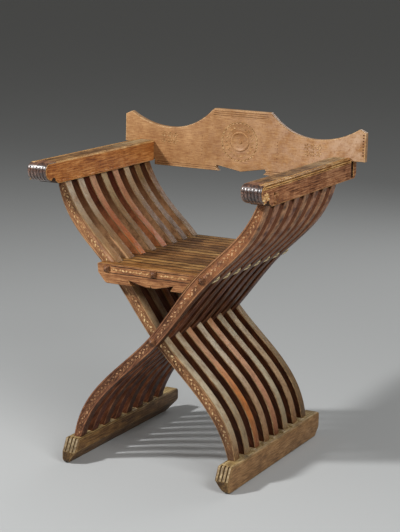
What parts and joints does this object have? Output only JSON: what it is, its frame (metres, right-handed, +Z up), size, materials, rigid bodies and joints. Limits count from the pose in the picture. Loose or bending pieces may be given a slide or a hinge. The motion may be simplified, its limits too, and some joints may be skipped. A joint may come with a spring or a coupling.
{
  "type": "savonarola chair",
  "caption": "Folding wooden armchair: two frames of interleaved S-curved staves cross on one rod, with a hinged slat seat, scrolled arms, paw foot rails and a removable carved back board.",
  "frame": {"origin": "centre of the bounding box on the floor plane", "axes": "+X to the right arm as seen from the front, +Y to the back board, +Z up"},
  "size_m": [0.654, 0.566, 0.809],
  "materials": {
    "walnut_stave": "worn waxed walnut",
    "walnut_arm": "polished walnut",
    "walnut_foot": "dark worn walnut",
    "walnut_seat": "worn walnut",
    "walnut_board": "lighter waxed walnut",
    "walnut_peg": "waxed walnut"
  },
  "bodies": {
    "crossing": {"crossing_rod": "walnut_peg", "crossing_rod_cap": "walnut_peg"},
    "right_frame": {"right_stave_1": "walnut_stave", "right_stave_2": "walnut_stave", "right_stave_3": "walnut_stave", "right_stave_4": "walnut_stave", "right_stave_5": "walnut_stave", "right_stave_6": "walnut_stave", "right_stave_7": "walnut_stave", "right_stave_8": "walnut_stave", "right_arm": "walnut_arm", "left_foot_rail": "walnut_foot", "right_seat_rod": "walnut_peg", "right_seat_rod_cap": "walnut_peg"},
    "left_frame": {"left_stave_1": "walnut_stave", "left_stave_2": "walnut_stave", "left_stave_3": "walnut_stave", "left_stave_4": "walnut_stave", "left_stave_5": "walnut_stave", "left_stave_6": "walnut_stave", "left_stave_7": "walnut_stave", "left_stave_8": "walnut_stave", "left_arm": "walnut_arm", "right_foot_rail": "walnut_foot", "left_seat_rod": "walnut_peg", "left_seat_rod_cap": "walnut_peg"},
    "seat_left": {"left_seat_slat_1": "walnut_seat", "left_seat_slat_2": "walnut_seat", "left_seat_slat_3": "walnut_seat", "left_seat_slat_4": "walnut_seat", "left_seat_slat_5": "walnut_seat", "left_seat_slat_6": "walnut_seat", "left_seat_slat_7": "walnut_seat", "seat_apron": "walnut_seat", "middle_seat_rod": "walnut_peg", "middle_seat_rod_cap": "walnut_peg"},
    "seat_right": {"right_seat_slat_1": "walnut_seat", "right_seat_slat_2": "walnut_seat", "right_seat_slat_3": "walnut_seat", "right_seat_slat_4": "walnut_seat", "right_seat_slat_5": "walnut_seat", "right_seat_slat_6": "walnut_seat", "right_seat_slat_7": "walnut_seat", "right_seat_slat_8": "walnut_seat"},
    "back_board": {"back_board": "walnut_board"}
  },
  "joints": [
    {"name": "fold", "type": "hinge", "parent": "crossing", "child": "right_frame", "pos_m": [0, 0, 0.3185], "axis": [0, -1, 0], "range_deg": [0, 29]},
    {"name": "fold_left", "type": "hinge", "parent": "crossing", "child": "left_frame", "pos_m": [0, 0, 0.3185], "axis": [0, 1, 0], "range_deg": [0, 29]},
    {"name": "seat_left_turn", "type": "hinge", "parent": "left_frame", "child": "seat_left", "pos_m": [-0.1217, 0, 0.477], "axis": [0, -1, 0], "range_deg": [0, 104.94]},
    {"name": "seat_right_turn", "type": "hinge", "parent": "seat_left", "child": "seat_right", "pos_m": [0, 0, 0.477], "axis": [0, 1, 0], "range_deg": [0, 151.86]},
    {"name": "board_lift", "type": "slide", "parent": "crossing", "child": "back_board", "axis": [0, 0, 1], "range_m": [0, 0.2536]}
  ],
  "couplings": [
    {"joint": "fold_left", "follows": "fold", "ratio": 1},
    {"joint": "seat_left_turn", "follows": "fold", "ratio": 3.6181},
    {"joint": "seat_right_turn", "follows": "fold", "ratio": 5.2361},
    {"joint": "board_lift", "follows": "fold", "m_per_rad": 0.5}
  ]
}
